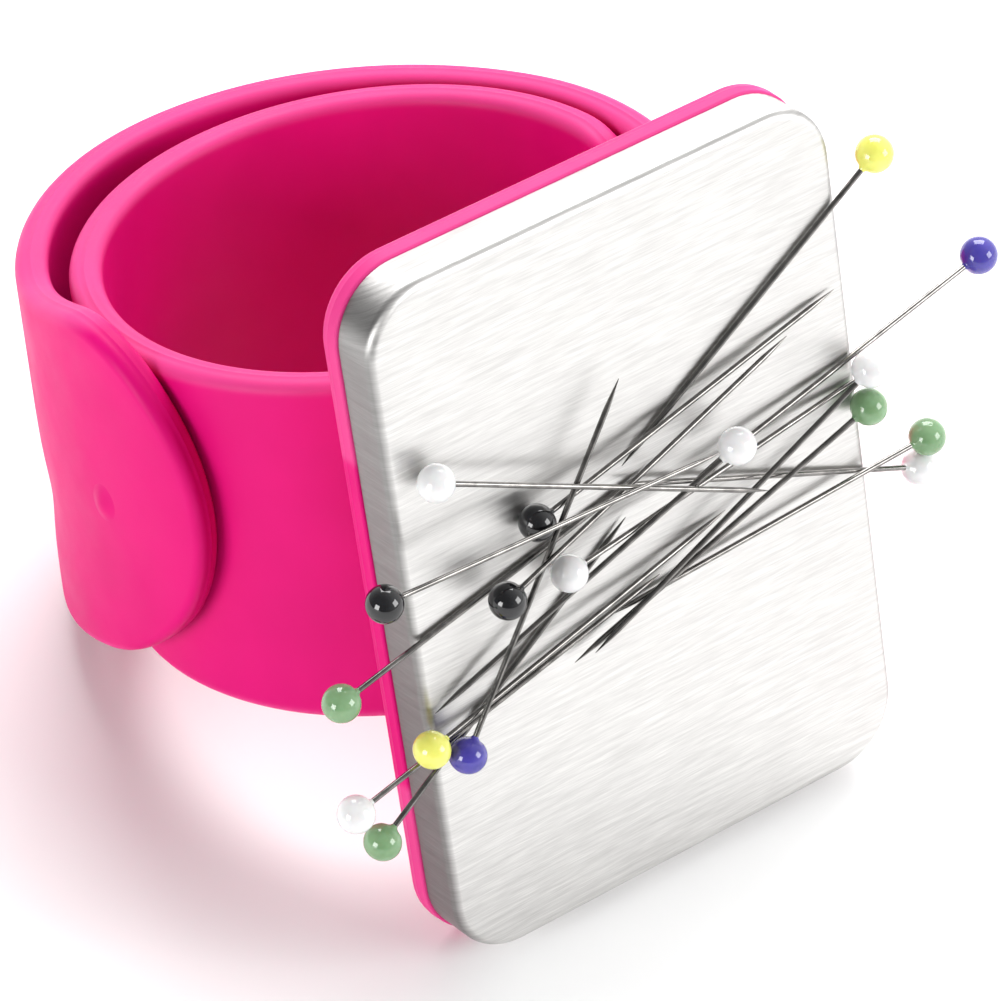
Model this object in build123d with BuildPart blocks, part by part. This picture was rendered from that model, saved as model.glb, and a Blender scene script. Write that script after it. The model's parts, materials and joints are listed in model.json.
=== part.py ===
from build123d import *
import os
from math import asin, atan2, cos, hypot, pi, radians, sin, sqrt

# A magnetic wrist pin cushion: a pressed steel plate on a silicone tray, with magnets behind its
# face, carried by a silicone slap band that is curled into its spiral. Pins lie on the plate.
# Millimetres and degrees. The object stands as it does on a table, leaning back on the tray's
# lower back edge and on the ring's far lower edge. The origin is the middle of its footprint.

# Plate, tray and what lies between them
plate_width = 57.0
plate_height = 80.0
plate_corner = 7.5
pan_depth = 5.5
pan_sheet = 0.6
pan_edge_round = 1.1
tray_depth = 2.7
tray_overhang = 0.3
tray_land = 0.8
tray_edge_round = 0.8
land_clearance = 0.3
carrier_clearance = 0.6
film_thickness = 0.3
magnet_radius = 8.0
magnet_thickness = 3.0
magnet_pitch = 24.0
magnet_columns = 2
magnet_rows = 3
pocket_clearance = 0.1

# Band. Directions about the ring's centre are angles: -90 is at the plate, 0 is to the right, 90 is
# at the back. The inner wing runs down from -90 and the outer wing runs up from it.
band_width = 41.0
band_thickness = 3.6
rim_round = 1.2
ring_x = -2.2
ring_y = 42.4
ring_radius = 29.5
saddle_span = 28.0
saddle_neck = 10.6
neck_into_saddle = 1.2
link_count = 9
inner_tip_angle = -390.0
inner_tip_span = 38.0
outer_tip_angle = 202.6
outer_tip_span = 30.6
outer_climb = 3.9
outer_climb_span = 40.0
outer_bulge = 3.9
outer_bulge_start = 25.0
outer_bulge_end = 195.0
outer_rise = 5.1
outer_rise_start = 145.0
outer_rise_end = 192.0
tongue_length = 17.5
hinge_relief = 1.0
tape_thickness = 0.25
tape_width = 25.0
tape_clearance = 0.15

# Pins
shaft_radius = 0.3
shaft_length = 41.0
shaft_in_head = 1.2
point_length = 3.5
point_radius = 0.05
head_radius = 2.0

# Where each pin lies: the head's place across and up the plate, the direction from head to point,
# and how far the middle of the head and the point stand off the face. They are listed from the
# bottom of the heap to its top.
pins = {
    "green_3": (-38.0, -1.5, 13, 0.4, 0.4),
    "yellow_1": (33.5, 30.5, -149, 0.4, 0.4),
    "white_2": (35.0, -8.0, 157, 0.2, 1.2),
    "green_4": (-36.0, -19.5, 34, 0.4, 0.4),
    "green_2": (35.5, -4.0, -176, 1.4, 0.4),
    "green_1": (28.0, 3.5, -161, 2.2, 0.9),
    "black_1": (-13.5, 9.0, 12, 2.1, 0.4),
    "white_6": (-39.0, -14.0, 13, 1.4, 0.7),
    "white_5": (-11.0, 2.0, 6, 2.7, 0.4),
    "yellow_2": (-30.0, -10.0, 12, 2.8, 0.4),
    "blue_1": (46.0, 12.5, -169, -0.7, 1.7),
    "white_3": (10.0, 8.0, -157, 4.2, 0.4),
    "white_1": (28.5, 8.0, -155, 2.6, 1.7),
    "blue_2": (-26.5, -12.0, 53, 3.7, 2.4),
    "black_2": (-19.5, 3.5, 17, 4.2, 1.2),
    "white_4": (-24.5, 19.0, -25, 2.4, 4.9),
    "black_3": (-33.5, 10.0, -2, 4.3, 4.7),
}


def mid_radius(angle):
    """The spiral's mid-line: a circle up to the outer wing, which then climbs clear of the inner
    wing's tip and bulges away from it at the back."""
    climb = min(max((angle + 90 - saddle_span / 2) / outer_climb_span, 0), 1)
    radius = ring_radius + outer_climb * (1 - cos(pi * climb)) / 2
    if outer_bulge_start < angle < outer_bulge_end:
        share = (angle - outer_bulge_start) / (outer_bulge_end - outer_bulge_start)
        radius += outer_bulge * sin(pi * share) ** 2
    return radius


def rise_at(angle):
    """How far the band's middle has moved up the ring, which the outer wing does near its tongue."""
    share = min(max((angle - outer_rise_start) / (outer_rise_end - outer_rise_start), 0), 1)
    return outer_rise * share**2 * (3 - 2 * share)


def mid_point(angle):
    """A point of the mid-line, seen from above."""
    radius = mid_radius(angle)
    return Vector(ring_x + radius * cos(radians(angle)), ring_y + radius * sin(radians(angle)))


# Stance: the plate leans back until the rounded edges of the tray and of the ring's far side stand
# on one level.
stand_x = -3.5
stand_y = -36.53
stand_z = 40.855
tray_back = pan_depth + tray_depth
ring_far = max(mid_point(angle).Y for angle in range(0, 180)) + band_thickness / 2
stance_run = (ring_far - rim_round) - (tray_back - tray_edge_round)
stance_rise = (plate_height / 2 + tray_overhang - tray_edge_round) - (band_width / 2 - rim_round)
edge_difference = asin((rim_round - tray_edge_round) / hypot(stance_run, stance_rise))
lean = atan2(stance_rise, stance_run) - edge_difference
across = Vector(1, 0, 0)
back = Vector(0, cos(lean), -sin(lean))
up = Vector(0, sin(lean), cos(lean))
face_middle = Vector(stand_x, stand_y, stand_z)

ring_plane = Plane(origin=face_middle, x_dir=across, z_dir=up)
face_plane = Plane(origin=face_middle, x_dir=across, z_dir=back * -1)
depth_axis = Axis(face_middle, back)


def save(part, label):
    part.label = label
    export_step(part, f"parts/{label}.step")


# ------------------------------------------------------------------ plate and tray

pan_inner_width = plate_width - 2 * pan_sheet
pan_inner_height = plate_height - 2 * pan_sheet
pan_inner_corner = plate_corner - pan_sheet
land_front = pan_depth - tray_land
carrier_thickness = land_front - film_thickness - pan_sheet


def outline_inside_pan(clearance):
    RectangleRounded(
        pan_inner_width - 2 * clearance,
        pan_inner_height - 2 * clearance,
        pan_inner_corner - clearance,
    )


def magnet_outline(radius):
    with GridLocations(magnet_pitch, magnet_pitch, magnet_columns, magnet_rows):
        Circle(radius)


def make_steel_plate():
    """The pressed pan: an open box with a rounded front edge."""
    with BuildPart() as pan:
        with BuildSketch(face_plane):
            RectangleRounded(plate_width, plate_height, plate_corner)
        extrude(amount=-pan_depth)
        fillet(pan.faces().sort_by(depth_axis)[0].edges(), pan_edge_round)
        offset(amount=-pan_sheet, openings=pan.faces().sort_by(depth_axis)[-1])
    return pan.part


def make_magnet_set():
    with BuildPart() as magnets:
        with BuildSketch(face_plane.offset(-pan_sheet)):
            magnet_outline(magnet_radius)
        extrude(amount=-magnet_thickness)
    return magnets.part


def make_magnet_carrier():
    with BuildPart() as carrier:
        with BuildSketch(face_plane.offset(-pan_sheet)):
            outline_inside_pan(carrier_clearance)
        extrude(amount=-carrier_thickness)
        with BuildSketch(face_plane.offset(-pan_sheet)):
            magnet_outline(magnet_radius + pocket_clearance)
        extrude(amount=-magnet_thickness, mode=Mode.SUBTRACT)
    return carrier.part


def make_bonding_film():
    with BuildPart() as film:
        with BuildSketch(face_plane.offset(-land_front)):
            outline_inside_pan(land_clearance)
        extrude(amount=film_thickness)
    return film.part


def make_silicone_tray():
    """The tray's floor behind the pan, and the land that stands up inside the pan's wall."""
    with BuildPart() as tray:
        with BuildSketch(face_plane.offset(-pan_depth)):
            RectangleRounded(
                plate_width + 2 * tray_overhang,
                plate_height + 2 * tray_overhang,
                plate_corner + tray_overhang,
            )
        extrude(amount=-tray_depth)
        fillet(tray.faces().sort_by(depth_axis)[-1].edges(), tray_edge_round)
        with BuildSketch(face_plane.offset(-pan_depth)):
            outline_inside_pan(land_clearance)
        extrude(amount=tray_land)
    return tray.part


# ------------------------------------------------------------------ slap band


def off_mid(angle, depth, slant=0):
    """A point outside the mid-line, on a line that leans by slant from square to the mid-line."""
    along = mid_point(angle + 0.5) - mid_point(angle - 0.5)
    square = along.normalized().rotate(Axis.Z, slant - 90)
    return mid_point(angle) + square * (depth / cos(radians(slant)))


def hinge_angles(tip_angle, tip_span):
    """The directions of one wing's hinges, from the saddle to the tip's own hinge."""
    sense = 1 if tip_angle > -90 else -1
    first = -90 + sense * saddle_span / 2
    step = (tip_angle - sense * tip_span - first) / (link_count - 1)
    return [first + number * step for number in range(link_count)]


inner_hinges = hinge_angles(inner_tip_angle, inner_tip_span)
outer_hinges = hinge_angles(outer_tip_angle, outer_tip_span)
inner_ends = inner_hinges + [inner_tip_angle]
outer_ends = outer_hinges + [outer_tip_angle]


def turns(ends):
    """How far each hinge is bent at rest: the turn from one link's chord to the next one's."""
    points = [mid_point(angle) for angle in ends]
    chords = [second - first for first, second in zip(points, points[1:])]
    saddle_chord = Vector(1 if ends[-1] > -90 else -1, 0)
    return [first.get_angle(second) for first, second in zip([saddle_chord] + chords, chords)]


inner_turns = turns(inner_ends)
outer_turns = turns(outer_ends)


def strip_profile(ends, depth, slants, height):
    """The outline, seen from above, of a strip between two or more directions, depth thick on each
    side of the mid-line. Its lower side lies half a height below the middle of the band. Outside
    the mid-line its end faces lean inwards by the slants, to leave room for a hinge to open."""
    sense = 1 if ends[-1] > ends[0] else -1
    outer_start = off_mid(ends[0], depth, sense * slants[0])
    outer_end = off_mid(ends[-1], depth, -sense * slants[1])
    with BuildSketch(ring_plane.offset(-height / 2)) as profile:
        with BuildLine():
            for start, end in zip(ends, ends[1:]):
                inner_points = [off_mid(angle, -depth) for angle in (start, (start + end) / 2, end)]
                ThreePointArc(*inner_points)
                outer_points = [off_mid(angle, depth) for angle in (start, (start + end) / 2, end)]
                if start == ends[0]:
                    outer_points[0] = outer_start
                if end == ends[-1]:
                    outer_points[2] = outer_end
                ThreePointArc(*outer_points)
            Polyline(off_mid(ends[0], -depth), mid_point(ends[0]), outer_start)
            Polyline(off_mid(ends[-1], -depth), mid_point(ends[-1]), outer_end)
        make_face()
    return profile.sketch


def add_strip(ends, slants):
    """A length of band with rounded rims, moved up the ring by the mean of its ends' rises."""
    profile = strip_profile(ends, band_thickness / 2, slants, band_width)
    rise = (rise_at(ends[0]) + rise_at(ends[1])) / 2
    strip = extrude(profile.moved(Location(up * rise)), amount=band_width)
    fillet(strip.edges().filter_by(GeomType.CIRCLE), rim_round)


def cut_tape_slot(ends):
    slot_width = tape_width + 2 * tape_clearance
    slot = strip_profile(ends, tape_thickness / 2 + tape_clearance, (0, 0), slot_width)
    extrude(slot, amount=slot_width, mode=Mode.SUBTRACT)


def make_link(ends, bends):
    """One link of a wing, from its own hinge to the next, bent by the two turns at those hinges."""
    with BuildPart() as link:
        add_strip(ends, [bend / 2 + hinge_relief for bend in bends])
        cut_tape_slot(ends)
    return link.part


def make_tip(ends, bend):
    """A wing's free end, rounded like a tongue. The steel tape stops short of it."""
    hinge = mid_point(ends[0])
    chord = mid_point(ends[1]) - hinge
    hinge_place = ring_plane.from_local_coords(hinge)
    chord_direction = ring_plane.from_local_coords(chord) - face_middle
    tip_plane = Plane(origin=hinge_place, x_dir=chord_direction, z_dir=chord_direction.cross(up))
    slants = (bend / 2 + hinge_relief, 0)
    height = band_width + 2 * outer_rise
    hinge_rise, tip_rise = rise_at(ends[0]), rise_at(ends[1])
    straight_length = chord.length - tongue_length
    half = band_width / 2
    with BuildPart() as tip:
        extrude(strip_profile(ends, band_thickness / 2, slants, height), amount=height)
        with BuildSketch(tip_plane):
            with Locations((straight_length, tip_rise)):
                Ellipse(tongue_length, half)
            Polygon(
                (0, hinge_rise - half),
                (straight_length, tip_rise - half),
                (straight_length, tip_rise + half),
                (0, hinge_rise + half),
                align=None,
            )
        extrude(amount=band_width, both=True, mode=Mode.INTERSECT)
    return tip.part


def make_saddle():
    """The fixed middle of the band, and the neck that joins it to the tray."""
    ends = (-90 - saddle_span / 2, -90 + saddle_span / 2)
    neck_top = ring_y - ring_radius - band_thickness / 2 + neck_into_saddle
    with BuildPart() as saddle:
        add_strip(ends, (inner_turns[0] / 2 + hinge_relief, outer_turns[0] / 2 + hinge_relief))
        with BuildSketch(ring_plane.offset(-band_width / 2)):
            with Locations((ring_x, (tray_back + neck_top) / 2)):
                Rectangle(saddle_neck, neck_top - tray_back)
        extrude(amount=band_width)
        cut_tape_slot(ends)
    return saddle.part


def make_spring_tape():
    """The steel tape, one piece from the inner tip's hinge through the saddle to the outer one's."""
    ends = inner_hinges[::-1] + outer_hinges
    with BuildPart() as tape:
        extrude(strip_profile(ends, tape_thickness / 2, (0, 0), tape_width), amount=tape_width)
    return tape.part


# ------------------------------------------------------------------ pins


def pin_plane(head_across, head_up, direction, head_off, point_off):
    """A plane at the middle of a pin's head, with its X along the shaft to the point."""
    run = sqrt(shaft_length**2 - (head_off - point_off) ** 2)
    reach = Vector(run * cos(radians(direction)), head_off - point_off, run * sin(radians(direction)))
    head = Vector(head_across, -head_off, head_up)
    head_place = ring_plane.from_local_coords(head)
    along = ring_plane.from_local_coords(head + reach) - head_place
    return Plane(origin=head_place, x_dir=along, z_dir=along.cross(back))


def make_shaft(place):
    with BuildPart() as shaft:
        with BuildSketch(place):
            with BuildLine():
                Polyline(
                    (-shaft_in_head, 0),
                    (-shaft_in_head, shaft_radius),
                    (shaft_length - point_length, shaft_radius),
                    (shaft_length, point_radius),
                    (shaft_length, 0),
                    close=True,
                )
            make_face()
        revolve(axis=Axis(place.origin, place.x_dir))
    return shaft.part


def make_head(place):
    """A glass ball with the blind hole that the shaft is sealed into."""
    along_shaft = Plane(origin=place.origin, z_dir=place.x_dir)
    with BuildPart(along_shaft) as head:
        Sphere(head_radius)
        with BuildSketch(along_shaft.offset(-shaft_in_head)):
            Circle(shaft_radius)
        extrude(amount=head_radius + shaft_in_head, mode=Mode.SUBTRACT)
    return head.part


# ------------------------------------------------------------------ all pieces

if __name__ == "__main__":
    os.makedirs("parts", exist_ok=True)
    save(make_steel_plate(), "steel_plate")
    save(make_magnet_set(), "magnet_set")
    save(make_magnet_carrier(), "magnet_carrier")
    save(make_bonding_film(), "bonding_film")
    save(make_silicone_tray(), "silicone_tray")
    save(make_saddle(), "band_saddle")
    save(make_spring_tape(), "spring_tape")
    for wing, ends, bends in (
        ("inner", inner_ends, inner_turns),
        ("outer", outer_ends, outer_turns),
    ):
        for number in range(link_count - 1):
            link = make_link(ends[number:number + 2], bends[number:number + 2])
            save(link, f"{wing}_link_{number + 1}")
        save(make_tip(ends[-2:], bends[-1]), f"{wing}_tip")
    for name, resting_place in pins.items():
        place = pin_plane(*resting_place)
        save(make_shaft(place), f"pin_shaft_{name}")
        save(make_head(place), f"pin_head_{name}")
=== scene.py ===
"""A magnetic wrist pin cushion: a silicone slap band, curled into its spiral, carries a pressed and
brushed steel pan with ball-head pins on it. Lengths in this script are millimetres and angles degrees,
except where a comment says metres."""

import json
from math import cos, pi, radians, sin

import bmesh
import bpy
import numpy as np
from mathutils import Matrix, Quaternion, Vector


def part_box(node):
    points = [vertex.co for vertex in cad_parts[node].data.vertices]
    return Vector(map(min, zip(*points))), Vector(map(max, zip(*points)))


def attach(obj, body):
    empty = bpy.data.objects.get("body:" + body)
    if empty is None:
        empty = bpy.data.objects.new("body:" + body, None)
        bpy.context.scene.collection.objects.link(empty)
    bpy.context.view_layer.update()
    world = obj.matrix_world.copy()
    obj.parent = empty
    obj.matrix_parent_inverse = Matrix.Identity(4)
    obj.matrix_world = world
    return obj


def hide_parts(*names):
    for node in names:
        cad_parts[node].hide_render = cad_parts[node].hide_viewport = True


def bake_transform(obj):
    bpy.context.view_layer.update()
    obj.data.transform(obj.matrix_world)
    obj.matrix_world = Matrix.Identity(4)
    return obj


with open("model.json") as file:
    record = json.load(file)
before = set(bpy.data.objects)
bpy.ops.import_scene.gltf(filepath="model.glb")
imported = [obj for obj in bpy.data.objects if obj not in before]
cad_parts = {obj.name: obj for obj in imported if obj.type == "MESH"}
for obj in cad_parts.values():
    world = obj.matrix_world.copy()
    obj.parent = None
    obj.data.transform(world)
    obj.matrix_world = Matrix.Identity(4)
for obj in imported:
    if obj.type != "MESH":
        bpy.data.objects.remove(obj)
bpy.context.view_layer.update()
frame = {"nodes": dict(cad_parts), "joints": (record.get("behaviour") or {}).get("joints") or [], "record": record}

MM = 0.001

# ------------------------------------------------------------------ driving dimensions

# Camera, fitted to the photograph
view_azimuth = -37.86
view_elevation = 44.69
view_roll = 2.42
view_distance = 660.6
view_target = (-13.75, -25.9, 42.98)
lens = 233.8

# The room's own light: its strength on the dark side and on the bright one, the direction of the
# bright side, and how far each way from the middle it goes on changing, as a cosine
wall_light_near = 0.28
wall_light_far = 1.3
wall_bright_side = (0.9, 0.2, -0.35)
wall_fade = 0.8

# Softboxes: place and size in metres, power in watts. All of them look at one target.
softbox_target = (0, 0, 0.03)
softboxes = {
    "overhead": {"place": (0.5, 0.6, 0.9), "size": (0.9, 0.7), "power": 16.0},
    "key": {"place": (0.65, -0.9, 0.5), "size": (0.6, 0.6), "power": 9.0},
    "side": {"place": (-0.9, -0.15, 0.25), "size": (0.4, 0.4), "power": 5.8},
}

# Floor, in metres
floor_half = 3.0

# Pan and tray
plate_width = 57.0
plate_height = 80.0
plate_corner = 7.5
pan_depth = 5.5
pan_sheet = 0.6
pan_edge_round = 1.1
pan_lip_round = 0.12
tray_depth = 2.7
tray_overhang = 0.3
tray_land = 0.8
tray_edge_round = 0.8
tray_lip_round = 0.3
tray_land_round = 0.2
land_clearance = 0.3

# The seam round the tray's side: how far off its middle, and how far out
tray_seam = ((-0.15, 0), (-0.05, 0.05), (0.05, 0.05), (0.15, 0))

# Band. Directions about the ring's centre are angles: -90 is at the plate, 90 is at the back.
ring_x = -2.2
ring_y = 42.4
ring_radius = 29.5
band_width = 41.0
band_thickness = 3.6
rim_round = 1.2
seam_height = 0.06
seam_foot = 0.16
seam_top = 0.06
saddle_span = 28.0
saddle_piece_span = 14.0
link_count = 9

# Wings: their tips, and the outer one's climb clear of the inner one, its bulge and its rise
inner_tip_angle = -390.0
inner_tip_span = 38.0
outer_tip_angle = 202.6
outer_tip_span = 30.6
outer_climb = 3.9
outer_climb_span = 40.0
outer_bulge = 3.9
outer_bulge_start = 25.0
outer_bulge_end = 195.0
outer_rise = 5.1
outer_rise_start = 145.0
outer_rise_end = 192.0
tongue_length = 17.5

# The neck between tray and band, and how far its two ends are sunk into them
neck_width = 10.6
neck_flare = 1.5
neck_corner = 1.0
neck_in_tray = 0.1
neck_in_band = 0.4

# Meshes: the spacing of the band's loops, points welded within this distance, and the angles of
# edges that stay sharp
station_spacing = 0.55
weld_distance = 0.002
moulded_sharp = 40.0
turned_sharp = 50.0

# How the outer wing leans near its end: by how much at its rims, from where to where, and the waist
lean = 0.7
lean_start = 95.0
lean_full = 140.0
lean_fade = 165.0
lean_end = 200.0
waist_depth = 0.45
waist_height = -7.0
waist_reach = 5.0

# The two bend points round each hinge lie this share of the way from it towards the piece's nearer end
bend_share = 0.94

# Steel tape
tape_thickness = 0.25
tape_width = 25.0
tape_clearance = 0.15
tape_broken_edge = 0.06
tape_past_last_hinge = 3.0
slot_past_tape = 1.0

# Nub on the tongue
nub_angle = 178.6
nub_height = -1.4
nub_half_length = 2.2
nub_half_width = 2.7
nub_swell = 0.55
nub_sink = 0.03

# Pins
shaft_radius = 0.3
shaft_length = 41.0
shaft_in_head = 1.2
point_length = 3.5
point_radius = 0.03
tip_radius = 0.012
point_fullness = 1.25
head_radius = 2.0
head_flatness = 0.96
head_flatness_step = 0.015

# The collar where the shaft leaves its head: how far along, and its radius
collar_start = 1.75
collar = ((1.86, 0.62), (2.0, 0.42), (2.12, 0.34), (2.2, 0.30))

# ------------------------------------------------------------------ the object's own axes

mounts = {mount["name"]: mount for mount in frame["record"]["mounts"]}
face_middle = Vector(mounts["magnet_face"]["pos_m"])
back = -Vector(mounts["magnet_face"]["axis"])
up = Vector(mounts["wrist_loop"]["axis"])
across = back.cross(up)
object_axes = np.array([across, back, up])


def to_world(points):
    """From across, back and up of the middle of the steel face, in mm, to metres in the row frame."""
    return np.array(face_middle) + np.asarray(points, float) @ object_axes * MM


def smooth_step(value, low, high):
    """Rises smoothly from 0 at low to 1 at high."""
    share = np.clip((value - low) / (high - low), 0, 1)
    return share * share * (3 - 2 * share)


# ------------------------------------------------------------------ mesh building


def make_object(name, points, sheet, faces, material, sharp, weld=0.0):
    """Makes a Blender object from points in metres and sheet coordinates in mm, with its faces turned
    outwards. Edges sharper than the angle sharp stay sharp, and points within weld mm become one."""
    mesh = bpy.data.meshes.new(name)
    mesh.from_pydata(points, [], faces)
    layer = mesh.uv_layers.new(name="sheet")
    corners = np.zeros(len(mesh.loops), int)
    mesh.loops.foreach_get("vertex_index", corners)
    layer.data.foreach_set("uv", (np.array(sheet)[corners] * MM).ravel())
    soup = bmesh.new()
    soup.from_mesh(mesh)
    if weld:
        bmesh.ops.remove_doubles(soup, verts=soup.verts, dist=weld * MM)
    bmesh.ops.recalc_face_normals(soup, faces=soup.faces)
    soup.to_mesh(mesh)
    soup.free()
    mesh.materials.append(material)
    mesh.shade_smooth()
    mesh.set_sharp_from_angle(angle=radians(sharp))
    piece = bpy.data.objects.new(name, mesh)
    bpy.context.scene.collection.objects.link(piece)
    return piece


class Shell:
    """Points, faces and flat sheet coordinates of one mesh that is being built."""

    def __init__(self):
        self.points = []
        self.sheet = []
        self.faces = []

    def add_loop(self, points, sheet=None):
        """Adds a loop of points and returns the numbers of its points."""
        first = len(self.points)
        self.points.extend(np.asarray(points, float))
        self.sheet.extend(np.zeros((len(points), 2)) if sheet is None else sheet)
        return list(range(first, first + len(points)))

    def join_loops(self, one, other, closed=True):
        count = len(one)
        for place in range(count if closed else count - 1):
            after = (place + 1) % count
            self.faces.append((one[place], one[after], other[after], other[place]))

    def add_chain(self, loops, closed=True):
        """Joins each loop to the next one."""
        for one, other in zip(loops, loops[1:]):
            self.join_loops(one, other, closed)

    def close(self, loop):
        self.faces.append(tuple(loop))

    def finish(self, name, material, weld=0.0):
        points = to_world(self.points).tolist()
        return make_object(name, points, self.sheet, self.faces, material, moulded_sharp, weld)


def place_piece(piece, body, slot, *nodes):
    """A piece that rides on one body and stands for some of its CAD nodes."""
    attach(piece, body)
    if nodes:
        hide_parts(*nodes)


# ------------------------------------------------------------------ material helpers

# The range that noise mostly keeps to
usual_noise = (0.3, 0.7)


class Material:
    """One procedural material, with short names for the nodes that this script uses."""

    def __init__(self, name):
        self.material = bpy.data.materials.new(name)
        self.material.use_nodes = True
        self.nodes = self.material.node_tree.nodes
        self.links = self.material.node_tree.links
        self.shader = self.nodes["Principled BSDF"]

    def set(self, **sockets):
        for name, value in sockets.items():
            self.shader.inputs[name.replace("_", " ")].default_value = value

    def link(self, output, name):
        self.links.new(output, self.shader.inputs[name])

    def node(self, kind, inputs=None, **settings):
        made = self.nodes.new(kind)
        for name, value in settings.items():
            setattr(made, name, value)
        for name, value in (inputs or {}).items():
            if isinstance(value, bpy.types.NodeSocket):
                self.links.new(value, made.inputs[name])
            else:
                made.inputs[name].default_value = value
        return made

    def object_place(self):
        return self.node("ShaderNodeTexCoord").outputs["Object"]

    def sheet_place(self, stretch=(1, 1, 1)):
        """Sheet coordinates, in metres, scaled along each axis."""
        place = self.node("ShaderNodeUVMap", uv_map="sheet").outputs[0]
        return self.node("ShaderNodeMapping", {"Vector": place, "Scale": stretch}).outputs[0]

    def noise(self, place, size, detail=3.0, roughness=0.5):
        """Noise from 0 to 1, whose grain is size mm across."""
        inputs = {"Vector": place, "Scale": 1 / (size * MM), "Detail": detail, "Roughness": roughness}
        return self.node("ShaderNodeTexNoise", inputs).outputs["Fac"]

    def ramp(self, value, *stops):
        """Two colours or greys, each at a place from 0 to 1."""
        made = self.node("ShaderNodeValToRGB", {"Fac": value})
        for stop, (position, colour) in zip(made.color_ramp.elements, stops):
            stop.position = position
            stop.color = (*colour, 1) if isinstance(colour, tuple) else (colour, colour, colour, 1)
        return made.outputs["Color"]

    def tones(self, noise, dark, light):
        """Colours noise from dark to light."""
        return self.ramp(noise, (usual_noise[0], dark), (usual_noise[1], light))

    def between(self, noise, low, high):
        """Stretches noise so that it lies from low to high."""
        inputs = {"Value": noise, "To Min": low, "To Max": high}
        inputs["From Min"], inputs["From Max"] = usual_noise
        return self.node("ShaderNodeMapRange", inputs).outputs["Result"]

    def bump(self, height, depth, under=None):
        """Roughens the surface by depth mm."""
        inputs = {"Height": height, "Distance": depth * MM, "Strength": 1.0}
        if under is not None:
            inputs["Normal"] = under
        return self.node("ShaderNodeBump", inputs).outputs["Normal"]


# ------------------------------------------------------------------ materials


def make_silicone():
    """Matte hot pink silicone with the fine blasted grain of its mould, and a painted highlight that makes its
    rims paler.
    """
    made = Material("silicone")
    place = made.object_place()
    clouds = made.noise(place, 14.0, 2)
    colour = made.tones(clouds, (0.59, 0.002, 0.145), (0.65, 0.003, 0.165))
    height = made.node("ShaderNodeSeparateXYZ", {0: made.sheet_place((1, 1 / MM, 1))}).outputs["Y"]
    height = made.node("ShaderNodeMath", {0: height}, operation="ABSOLUTE").outputs[0]
    # Painted highlight: the base colour is tinted paler towards the rims, where light glances off them.
    rim_highlight_start, rim_highlight_full = band_width / 2 - 1.6, band_width / 2 - 0.2
    inputs = {"Value": height, "From Min": rim_highlight_start, "From Max": rim_highlight_full}
    rim_highlight_mask = made.node("ShaderNodeMapRange", inputs, interpolation_type="SMOOTHSTEP").outputs["Result"]
    rim_highlight_tint = (0.05, 0.045, 0.07)
    rim_highlight = made.node("ShaderNodeVectorMath", {0: rim_highlight_tint, "Scale": rim_highlight_mask}, operation="SCALE")
    inputs = {0: colour, 1: rim_highlight.outputs[0]}
    made.link(made.node("ShaderNodeVectorMath", inputs, operation="ADD").outputs[0], "Base Color")
    made.link(made.between(made.noise(place, 5.0, 3), 0.40, 0.50), "Roughness")
    grain = made.bump(made.noise(place, 0.16, 2), 0.006)
    made.link(made.bump(made.noise(place, 6.0, 2), 0.05, grain), "Normal")
    made.set(IOR=1.42, Specular_IOR_Level=0.14, Subsurface_Weight=0.04, Subsurface_Scale=0.0008)
    made.set(Subsurface_Radius=(1.0, 0.25, 0.35))
    return made.material


def make_brushed_steel():
    """Stainless sheet, brushed across the plate. Its two long sides are darker: painted shade for the dim
    reflections they catch.
    """
    made = Material("brushed_steel")
    fine = made.noise(made.sheet_place((0.022, 1, 1)), 0.08, 4, 0.6)
    broad = made.noise(made.sheet_place((0.06, 1, 1)), 0.5, 3, 0.6)
    clouds = made.noise(made.sheet_place(), 18.0, 2)
    tone = made.node("ShaderNodeMath", {0: fine, 1: broad}, operation="MULTIPLY").outputs[0]
    colour = made.ramp(tone, (0.12, (0.54, 0.53, 0.52)), (0.40, (0.77, 0.76, 0.745)))
    facing = made.node("ShaderNodeTexCoord").outputs["Normal"]
    sideways = made.node("ShaderNodeVectorMath", {0: facing, 1: across}, operation="DOT_PRODUCT")
    sideways = made.node("ShaderNodeMath", {0: sideways.outputs["Value"]}, operation="ABSOLUTE").outputs[0]
    # Painted shade: the walls that face across are darkened, as if they reflected shadowed floor.
    side_shade_start, side_shade_full, side_shade_tone = 0.25, 0.85, 0.40
    inputs = {"Value": sideways, "From Min": side_shade_start, "From Max": side_shade_full}
    inputs["To Min"], inputs["To Max"] = 1.0, side_shade_tone
    painted_side_shade = made.node("ShaderNodeMapRange", inputs)
    inputs = {0: colour, "Scale": painted_side_shade.outputs["Result"]}
    made.link(made.node("ShaderNodeVectorMath", inputs, operation="SCALE").outputs[0], "Base Color")
    made.link(made.between(broad, 0.34, 0.46), "Roughness")
    brushed = made.bump(fine, 0.004)
    made.link(made.bump(clouds, 0.02, brushed), "Normal")
    made.link(made.node("ShaderNodeTangent", direction_type="UV_MAP", uv_map="sheet").outputs[0], "Tangent")
    made.set(Metallic=1.0, Anisotropic=0.7)
    return made.material


def make_pin_wire():
    """Drawn and nickelled steel wire, with faint lines along it."""
    made = Material("pin_wire")
    lines = made.noise(made.sheet_place((1, 0.02, 1)), 0.12, 3)
    spots = made.noise(made.object_place(), 1.3, 3)
    made.link(made.ramp(spots, (0.35, (0.14, 0.135, 0.13)), (0.65, (0.24, 0.23, 0.22))), "Base Color")
    made.link(made.between(spots, 0.10, 0.2), "Roughness")
    made.link(made.bump(lines, 0.003), "Normal")
    made.set(Metallic=1.0)
    return made.material


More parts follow.
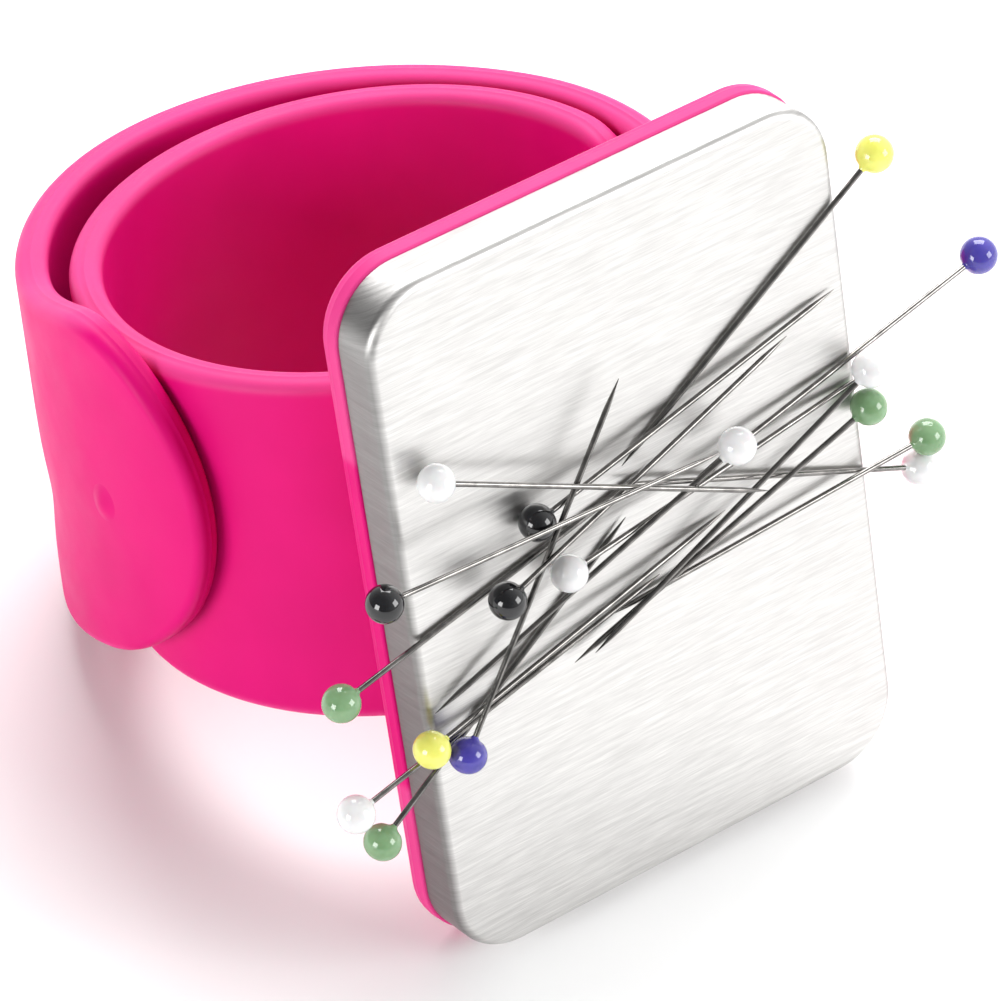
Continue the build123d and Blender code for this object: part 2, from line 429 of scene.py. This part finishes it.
def make_glass(name, dark, light):
    """A glossy glass bead, with faint streaks in its colour."""
    made = Material(f"glass_{name}")
    place = made.object_place()
    made.link(made.tones(made.noise(place, 1.6, 2), dark, light), "Base Color")
    made.link(made.between(made.noise(place, 0.9, 2), 0.04, 0.09), "Roughness")
    made.link(made.bump(made.noise(place, 1.8, 1), 0.02), "Normal")
    made.set(IOR=1.52, Coat_Weight=0.15, Coat_Roughness=0.03, Subsurface_Weight=0.1, Subsurface_Scale=0.001)
    return made.material


def make_spring_steel():
    """Blue-grey tempered tape, rolled along its length."""
    made = Material("spring_steel")
    rolled = made.noise(made.sheet_place((0.02, 1, 1)), 0.3, 3)
    made.link(made.tones(rolled, (0.30, 0.32, 0.36), (0.42, 0.44, 0.47)), "Base Color")
    made.link(made.between(rolled, 0.25, 0.4), "Roughness")
    made.link(made.bump(rolled, 0.003), "Normal")
    made.set(Metallic=1.0)
    return made.material


def make_inner_finish(name, dark, light, size, rough, metallic):
    """A plain inner piece's finish: mottled at the given size, with a light bump."""
    made = Material(name)
    mottle = made.noise(made.object_place(), size, 3)
    made.link(made.tones(mottle, dark, light), "Base Color")
    made.link(made.between(mottle, rough, rough + 0.12), "Roughness")
    made.link(made.bump(mottle, 0.01), "Normal")
    made.set(Metallic=metallic)
    return made.material


def make_floor_paint():
    made = Material("floor_paint")
    mottle = made.noise(made.object_place(), 40.0, 2)
    made.link(made.tones(mottle, 0.925, 0.935), "Base Color")
    made.set(Roughness=0.9, Specular_IOR_Level=0.1)
    return made.material


silicone = make_silicone()
brushed_steel = make_brushed_steel()
pin_wire = make_pin_wire()
spring_steel = make_spring_steel()
glass = {
    "yellow": make_glass("yellow", (0.66, 0.66, 0.12), (0.74, 0.74, 0.16)),
    "blue": make_glass("blue", (0.045, 0.035, 0.27), (0.065, 0.050, 0.34)),
    "white": make_glass("white", (0.64, 0.64, 0.65), (0.72, 0.72, 0.72)),
    "green": make_glass("green", (0.15, 0.27, 0.13), (0.19, 0.33, 0.17)),
    "black": make_glass("black", (0.004, 0.004, 0.005), (0.010, 0.010, 0.012)),
}

# ------------------------------------------------------------------ pan and tray


def rounded_outline(half_width, half_height, corner, corner_steps=14, side_steps=6):
    """A rounded rectangle's points and the directions out of it, both across and up."""
    corner = max(corner, 0.02)
    points, normals = [], []
    centres = ((1, 1), (-1, 1), (-1, -1), (1, -1))
    for quarter, (side, rise) in enumerate(centres):
        middle = np.array([side * (half_width - corner), rise * (half_height - corner)])
        for step in range(corner_steps + 1):
            angle = radians(90 * (quarter + step / corner_steps))
            normal = np.array([cos(angle), sin(angle)])
            points.append(middle + corner * normal)
            normals.append(normal)
        next_side, next_rise = centres[(quarter + 1) % 4]
        next_middle = np.array([next_side * (half_width - corner), next_rise * (half_height - corner)])
        for step in range(1, side_steps):
            points.append(middle + (next_middle - middle) * step / side_steps + corner * normal)
            normals.append(normal)
    return np.array(points), np.array(normals)


def add_outline_loop(shell, width, height, corner, inset, depth, unrolled=0.0):
    """A loop of the outline, moved in by inset and back by depth, in the object's own axes."""
    points, normals = rounded_outline(width / 2 - inset, height / 2 - inset, corner - inset)
    places = np.column_stack([points[:, 0], np.full(len(points), depth), points[:, 1]])
    return shell.add_loop(places, points + normals * unrolled)


def round_steps(radius, count=8):
    """Steps of a quarter round: how far in and how far down each lies, and the length up to it."""
    for step in range(count + 1):
        angle = radians(90 * step / count)
        yield radius * (1 - sin(angle)), radius * (1 - cos(angle)), radius * angle


def make_steel_pan():
    shell = Shell()
    size = (plate_width, plate_height, plate_corner)
    loops = []
    face_insets = (27.5, 22.0, 15.0, 9.0, 4.5, 2.2)
    inside_insets = (6.0, 18.0, 27.5)
    wall_depths = (2.4, 3.8, pan_depth - pan_lip_round)
    for inset in face_insets:
        loops.append(add_outline_loop(shell, *size, inset, 0.0))
    shell.close(loops[0])
    for inset, down, length in round_steps(pan_edge_round):
        loops.append(add_outline_loop(shell, *size, inset, down, length - pan_edge_round + inset))
    wall = pan_edge_round * pi / 2 - pan_edge_round
    for depth in wall_depths:
        loops.append(add_outline_loop(shell, *size, 0.0, depth, wall + depth - pan_edge_round))
    lip = wall + pan_depth - pan_edge_round
    loops.append(add_outline_loop(shell, *size, pan_lip_round, pan_depth, lip))
    loops.append(add_outline_loop(shell, *size, pan_sheet - pan_lip_round, pan_depth, lip))
    loops.append(add_outline_loop(shell, *size, pan_sheet, pan_depth - pan_lip_round, lip))
    for inset, down, _ in reversed(list(round_steps(pan_edge_round - pan_sheet / 2, 5))):
        loops.append(add_outline_loop(shell, *size, pan_sheet + inset, pan_sheet + down))
    for inset in inside_insets:
        loops.append(add_outline_loop(shell, *size, inset, pan_sheet))
    shell.close(loops[-1])
    shell.add_chain(loops)
    place_piece(shell.finish("steel_pan", brushed_steel), "holder", "brushed_stainless", "steel_plate")


def make_tray():
    shell = Shell()
    size = (
        plate_width + 2 * tray_overhang,
        plate_height + 2 * tray_overhang,
        plate_corner + tray_overhang,
    )
    back_depth = pan_depth + tray_depth
    land = pan_sheet + land_clearance + tray_overhang
    land_top = pan_depth - tray_land
    land_insets = (27.0, land + tray_land_round)
    back_insets = (3.0, 12.0, 27.0)
    loops = [add_outline_loop(shell, *size, inset, land_top) for inset in land_insets]
    loops.append(add_outline_loop(shell, *size, land, land_top + tray_land_round))
    loops.append(add_outline_loop(shell, *size, land, pan_depth))
    for inset, down, _ in round_steps(tray_lip_round, 5):
        loops.append(add_outline_loop(shell, *size, inset, pan_depth + down))
    middle = pan_depth + tray_depth / 2
    for off_middle, swell in tray_seam:
        loops.append(add_outline_loop(shell, *size, -swell, middle + off_middle))
    for inset, down, _ in reversed(list(round_steps(tray_edge_round))):
        loops.append(add_outline_loop(shell, *size, inset, back_depth - down))
    for inset in back_insets:
        loops.append(add_outline_loop(shell, *size, inset, back_depth))
    shell.close(loops[0])
    shell.close(loops[-1])
    shell.add_chain(loops)
    place_piece(shell.finish("tray_moulding", silicone), "holder", "pink_silicone", "silicone_tray")


def make_neck():
    """The neck that joins the tray to the band, flared at both of its ends."""
    shell = Shell()
    start = pan_depth + tray_depth
    end = ring_y - ring_radius - band_thickness / 2
    loops = []
    for share in np.linspace(0, 1, 15):
        depth = start - neck_in_tray + (end - start + neck_in_tray + neck_in_band) * share
        near_end = abs(2 * share - 1)
        flare = neck_flare * near_end**3
        width = neck_width + 2 * flare
        height = band_width - 2 * rim_round + flare
        points, _ = rounded_outline(width / 2, height / 2, neck_corner)
        places = np.column_stack([points[:, 0] + ring_x, np.full(len(points), depth), points[:, 1]])
        loops.append(shell.add_loop(places))
    shell.add_chain(loops)
    shell.close(loops[0])
    shell.close(loops[-1])
    place_piece(shell.finish("band_neck", silicone), "holder", "pink_silicone")


# ------------------------------------------------------------------ band


def mid_radius(angle):
    """The spiral's mid-line: a circle up to the outer wing, which then climbs clear of the inner
    wing's tip and bulges away from it at the back."""
    climb = np.clip((angle + 90 - saddle_span / 2) / outer_climb_span, 0, 1)
    bulge = np.clip((angle - outer_bulge_start) / (outer_bulge_end - outer_bulge_start), 0, 1)
    return ring_radius + outer_climb * (1 - np.cos(pi * climb)) / 2 + outer_bulge * np.sin(pi * bulge) ** 2


def mid_point(angle):
    radius = mid_radius(angle)
    turn = np.radians(angle)
    return np.stack([ring_x + radius * np.cos(turn), ring_y + radius * np.sin(turn)], axis=-1)


def outward(angle):
    """The direction out of the ring, square to the mid-line."""
    ahead = mid_point(angle + 0.5) - mid_point(angle - 0.5)
    ahead /= np.linalg.norm(ahead, axis=-1, keepdims=True)
    return np.stack([ahead[..., 1], -ahead[..., 0]], axis=-1)


def hinge_angles(tip_angle, tip_span):
    """The directions of a wing's hinges, from the saddle to the tip."""
    sense = 1 if tip_angle > -90 else -1
    first = -90 + sense * saddle_span / 2
    step = (tip_angle - sense * tip_span - first) / (link_count - 1)
    return [first + number * step for number in range(link_count)]


spiral_angles = np.arange(inner_tip_angle - 10, outer_tip_angle + 10, 0.1)
spiral_steps = np.linalg.norm(np.diff(mid_point(spiral_angles), axis=0), axis=1)
spiral_lengths = np.concatenate([[0], np.cumsum(spiral_steps)])


def length_at(angle):
    return np.interp(angle, spiral_angles, spiral_lengths)


def angle_at(length):
    return np.interp(length, spiral_lengths, spiral_angles)


def lean_out(angle, height):
    """The outer wing isn't quite upright near its end: its upper rim leans in, its lower rim out."""
    share = smooth_step(angle, lean_start, lean_full) * (1 - smooth_step(angle, lean_fade, lean_end))
    waist = waist_depth * np.exp(-((height - waist_height) / waist_reach) ** 2)
    return -share * (lean * height / (band_width / 2) + waist)


def band_place(length, height, depth):
    """A point of the band: how far along its mid-line, how far up, and how far out of it."""
    angle = angle_at(length)
    rise = outer_rise * smooth_step(angle, outer_rise_start, outer_rise_end)
    flat = mid_point(angle) + outward(angle) * (depth + lean_out(angle, height))[..., None]
    return np.concatenate([flat, (height + rise)[..., None]], axis=-1)


def half_section():
    """One half of the band's section, from the middle of its outer face over its rim, with the seam
    on it, to the middle of its inner face. Each point is the share of the way to the rim, how far
    inside the rim, and the depth."""
    half = band_thickness / 2
    outer = [(share, rim_round, half) for share in np.linspace(0, 1, 11)[:-1]]
    outer += [(1, inset, half - down) for inset, down, _ in round_steps(rim_round, 7)]
    outer += [(1, 0, seam_foot), (1, -seam_height, seam_top)]
    inner = [(share, inset, -depth) for share, inset, depth in reversed(outer)]
    return np.array(outer + inner)


section = half_section()


def whole_section(scale=(1, 1)):
    """The section's heights and depths, all the way round, scaled for the tape's slot."""
    reach = section[:, 0] * (band_width / 2 - section[:, 1])
    heights = np.concatenate([reach, -reach[-2:0:-1]])
    depths = np.concatenate([section[:, 2], section[-2:0:-1, 2]])
    return heights * scale[0], depths * scale[1]


def add_band_loops(shell, lengths, scale=(1, 1)):
    heights, depths = whole_section(scale)
    loops = []
    for length in lengths:
        same = np.full(len(heights), length)
        loops.append(shell.add_loop(band_place(same, heights, depths), np.column_stack([same, heights])))
    return loops


slot_scale = (
    (tape_width + 2 * tape_clearance) / band_width,
    (tape_thickness + 2 * tape_clearance) / band_thickness,
)


def mid_place(length):
    """A point of the band's mid-line, in the row frame."""
    return to_world(band_place(np.array(length), np.array(0.0), np.array(0.0)))


def stations(start, end):
    """Lengths along the band, about half a millimetre apart."""
    return np.linspace(start, end, max(2, int(abs(end - start) / station_spacing)))


def add_strip(shell, start, end):
    """A length of band with the tape's slot right through it."""
    outer = add_band_loops(shell, stations(start, end))
    slot = add_band_loops(shell, stations(start, end), slot_scale)
    shell.add_chain(outer + slot[::-1] + outer[:1])


def add_tongue(shell, start, slot_end, round_start, sense):
    """The band's free end: a strip whose slot stops, and an elliptical rounded tip."""
    outer = add_band_loops(shell, stations(start, round_start))
    slot = add_band_loops(shell, stations(start, slot_end), slot_scale)
    shell.add_chain(slot[::-1] + outer)
    shell.close(slot[-1])
    share, inset, depth = section.T
    half = band_width / 2
    rows = []
    for turn in np.linspace(0, pi, 61):
        rim = np.array([tongue_length * sin(turn), half * cos(turn)])
        normal = np.array([sin(turn) / tongue_length, cos(turn) / half])
        normal /= np.linalg.norm(normal)
        flat = (rim - np.outer(inset, normal)) * share[:, None]
        lengths = round_start + sense * flat[:, 0]
        sheet = np.column_stack([lengths, flat[:, 1]])
        rows.append(shell.add_loop(band_place(lengths, flat[:, 1], depth), sheet))
    shell.add_chain(rows, closed=False)


def make_wing(wing, tip_angle, tip_span):
    """One wing's silicone and tape. Each piece spans one hinge, from the middle of one link to the
    middle of the next. Returns the two bodies at the last hinge, and its bend."""
    sense = 1 if tip_angle > -90 else -1
    hinges = [length_at(angle) for angle in hinge_angles(tip_angle, tip_span)]
    tip = length_at(tip_angle)
    saddle_end = length_at(-90 + sense * saddle_piece_span / 2)
    ends = [saddle_end] + [(one + other) / 2 for one, other in zip(hinges, hinges[1:])] + [tip]
    links = [f"{wing}_link_{number + 1}" for number in range(link_count - 1)] + [f"{wing}_tip"]
    bodies = ["holder"] + links
    for number, link in enumerate(links):
        start, end, hinge = ends[number], ends[number + 1], hinges[number]
        shell = Shell()
        tape_end = end
        if number == link_count - 1:
            tape_end = hinge + sense * tape_past_last_hinge
            slot_end = tape_end + sense * slot_past_tape
            add_tongue(shell, start, slot_end, tip - sense * tongue_length, sense)
        else:
            add_strip(shell, start, end)
        skin = shell.finish(f"silicone_{link}", silicone, weld=weld_distance)
        tape = make_tape_piece(f"tape_{link}", start, tape_end)
        bend_reach = min(abs(hinge - start), abs(end - hinge)) * bend_share
        bend = [mid_place(hinge + side * sense * bend_reach) for side in (-1, 1)]
        for piece, slot, node in ((skin, "pink_silicone", link), (tape, "spring_steel", "spring_tape")):
            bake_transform(piece)
            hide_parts(node)
    return bodies[-2:], bend


def make_tape_piece(name, start, end):
    """A length of steel tape, with its edges broken."""
    shell = Shell()
    heights = np.array([1, 1, -1, -1, -1, -1, 1, 1]) * tape_width / 2
    heights += np.array([-1, 0, 0, 1, 1, 0, 0, -1]) * tape_broken_edge
    depths = np.array([1, 0.5, 0.5, 1, -1, -0.5, -0.5, -1]) * tape_thickness / 2
    loops = []
    for length in stations(start, end):
        lengths = np.full(len(heights), length)
        places = band_place(lengths, heights, depths)
        loops.append(shell.add_loop(places, np.column_stack([lengths, heights])))
    shell.add_chain(loops)
    shell.close(loops[0])
    shell.close(loops[-1])
    return shell.finish(name, spring_steel)


def make_saddle():
    """The fixed middle of the band, behind the tray."""
    start, end = (length_at(-90 + side * saddle_piece_span / 2) for side in (-1, 1))
    shell = Shell()
    add_strip(shell, start, end)
    place_piece(shell.finish("silicone_saddle", silicone), "holder", "pink_silicone", "band_saddle")
    tape = make_tape_piece("tape_saddle", start, end)
    place_piece(tape, "holder", "spring_steel", "spring_tape")


def make_tongue_nub():
    """The low oval nub on the outer face of the outer tongue. What it is on the real band isn't
    known."""
    shell = Shell()
    middle = length_at(nub_angle)
    loops = []
    for share in np.linspace(0.04, 1, 12):
        turn = np.linspace(0, 2 * pi, 33)[:-1]
        lengths = middle + nub_half_length * share * np.cos(turn)
        heights = nub_height + nub_half_width * share * np.sin(turn)
        stands_out = nub_swell * cos(pi * share / 2) ** 2 - nub_sink
        depths = np.full(len(turn), band_thickness / 2 + stands_out)
        loops.append(shell.add_loop(band_place(lengths, heights, depths)))
    shell.add_chain(loops)
    shell.close(loops[0])
    shell.close(loops[-1])
    nub = shell.finish("tongue_nub", silicone)
    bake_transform(nub)


# ------------------------------------------------------------------ pins


def make_turned(name, origin, axis, profile, material, sides):
    """A piece turned about an axis: the profile is pairs of along and radius, in mm."""
    side = axis.orthogonal().normalized()
    other = axis.cross(side)
    points, sheet, faces = [], [], []
    for along, radius in profile:
        for step in range(sides):
            turn = 2 * pi * step / sides
            spoke = side * cos(turn) + other * sin(turn)
            points.append(origin + (axis * along + spoke * radius) * MM)
            sheet.append((radius * turn, along))
    for row in range(len(profile) - 1):
        for step in range(sides):
            after = (step + 1) % sides
            one, two = row * sides, (row + 1) * sides
            faces.append((one + step, one + after, two + after, two + step))
    faces.append(tuple(range(sides)))
    faces.append(tuple(range(len(points) - sides, len(points))))
    return make_object(name, points, sheet, faces, material, turned_sharp)


def head_profile(flatness):
    """A glass bead, a little flattened along its pin, drawn out to a collar where the shaft leaves."""
    turns = [pi * step / 33 for step in range(1, 33)]
    rows = [(-cos(turn) * head_radius * flatness, sin(turn) * head_radius) for turn in turns]
    rows = [(along, radius) for along, radius in rows if along < collar_start * flatness]
    return rows + [(along * flatness, radius) for along, radius in collar]


def shaft_profile():
    """A straight shaft, sealed into its head, with a ground point."""
    taper_start = shaft_length - point_length
    rows = [(-shaft_in_head, shaft_radius), (taper_start * 0.5, shaft_radius)]
    for share in np.linspace(0, 1, 9):
        thickness = (shaft_radius - point_radius) * (1 - share**point_fullness)
        rows.append((taper_start + point_length * share, point_radius + thickness))
    rows.append((shaft_length, tip_radius))
    return rows


def make_pins():
    draws = {joint["child"]: joint for joint in frame["joints"] if joint["type"] == "slide"}
    for number, body in enumerate(sorted(draws)):
        name = body.removeprefix("pin_")
        low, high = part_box(f"pin_head_{name}")
        to_point = -Vector(draws[body]["axis"]).normalized()
        head = (low + high) / 2
        flatness = head_flatness + head_flatness_step * (number % 4)
        colour = name.split("_")[0]
        bead = make_turned(f"bead_{name}", head, to_point, head_profile(flatness), glass[colour], 40)
        place_piece(bead, body, f"glass_{colour}", f"pin_head_{name}")
        shaft = make_turned(f"shaft_{name}", head, to_point, shaft_profile(), pin_wire, 20)
        place_piece(shaft, body, "pin_wire", f"pin_shaft_{name}")


# ------------------------------------------------------------------ inner pieces that stay CAD


def finish_inner_pieces():
    """Dark and light tone, size of the mottling, roughness and metallic share of each."""
    finishes = {
        "magnet_set": ((0.60, 0.60, 0.62), (0.70, 0.70, 0.71), 0.8, 0.18, 1.0),
        "magnet_carrier": ((0.80, 0.80, 0.78), (0.86, 0.86, 0.84), 0.5, 0.45, 0.0),
        "bonding_film": ((0.70, 0.66, 0.55), (0.78, 0.74, 0.64), 1.5, 0.35, 0.0),
    }
    for node, (dark, light, size, rough, metallic) in finishes.items():
        material = make_inner_finish(f"{node}_finish", dark, light, size, rough, metallic)
        for material_slot in frame["nodes"][node].material_slots:
            material_slot.material = material


# ------------------------------------------------------------------ floor, light and camera


def make_floor():
    quarters = ((-1, -1), (1, -1), (1, 1), (-1, 1))
    corners = [(side * floor_half, ahead * floor_half, 0) for side, ahead in quarters]
    mesh = bpy.data.meshes.new("floor")
    mesh.from_pydata(corners, [], [(0, 1, 2, 3)])
    mesh.materials.append(make_floor_paint())
    floor = bpy.data.objects.new("floor", mesh)
    bpy.context.scene.collection.objects.link(floor)


def add_softbox(name, place, size, power):
    data = bpy.data.lights.new(name, "AREA")
    data.shape = "RECTANGLE"
    data.size, data.size_y = size
    data.energy = power
    light = bpy.data.objects.new(name, data)
    light.location = place
    light.rotation_euler = (Vector(softbox_target) - Vector(place)).to_track_quat("-Z", "Y").to_euler()
    bpy.context.scene.collection.objects.link(light)


def make_studio_walls():
    """The room's own light: bright to the right, dark on the left where the camera stands."""
    world = bpy.data.worlds.new("studio")
    world.use_nodes = True
    nodes, links = world.node_tree.nodes, world.node_tree.links
    look = nodes.new("ShaderNodeTexCoord")
    towards = nodes.new("ShaderNodeVectorMath")
    towards.operation = "DOT_PRODUCT"
    towards.inputs[1].default_value = Vector(wall_bright_side).normalized()
    shade = nodes.new("ShaderNodeMapRange")
    shade.interpolation_type = "SMOOTHSTEP"
    shade.inputs["From Min"].default_value = -wall_fade
    shade.inputs["From Max"].default_value = wall_fade
    shade.inputs["To Min"].default_value = wall_light_near
    shade.inputs["To Max"].default_value = wall_light_far
    links.new(look.outputs["Generated"], towards.inputs[0])
    links.new(towards.outputs["Value"], shade.inputs["Value"])
    links.new(shade.outputs["Result"], nodes["Background"].inputs["Strength"])
    nodes["Background"].inputs["Color"].default_value = (1, 1, 1, 1)
    bpy.context.scene.world = world


def light_the_scene():
    make_studio_walls()
    for name, softbox in softboxes.items():
        add_softbox(name, **softbox)
    bpy.context.scene.view_settings.view_transform = "Standard"


def place_camera():
    data = bpy.data.cameras.new("camera")
    data.lens = lens
    camera = bpy.data.objects.new("camera", data)
    azimuth, elevation = radians(view_azimuth), radians(view_elevation)
    away = Vector((sin(azimuth) * cos(elevation), -cos(azimuth) * cos(elevation), sin(elevation)))
    camera.location = (Vector(view_target) + away * view_distance) * MM
    camera.rotation_mode = "QUATERNION"
    roll = Quaternion((0, 0, 1), radians(view_roll))
    camera.rotation_quaternion = (-away).to_track_quat("-Z", "Y") @ roll
    bpy.context.scene.collection.objects.link(camera)
    bpy.context.scene.camera = camera


place_camera()
make_floor()
light_the_scene()
make_steel_pan()
make_tray()
make_neck()
make_saddle()
make_wing("inner", inner_tip_angle, inner_tip_span)
outer_tip_bodies, outer_tip_bend = make_wing("outer", outer_tip_angle, outer_tip_span)
make_tongue_nub()
make_pins()
finish_inner_pieces()
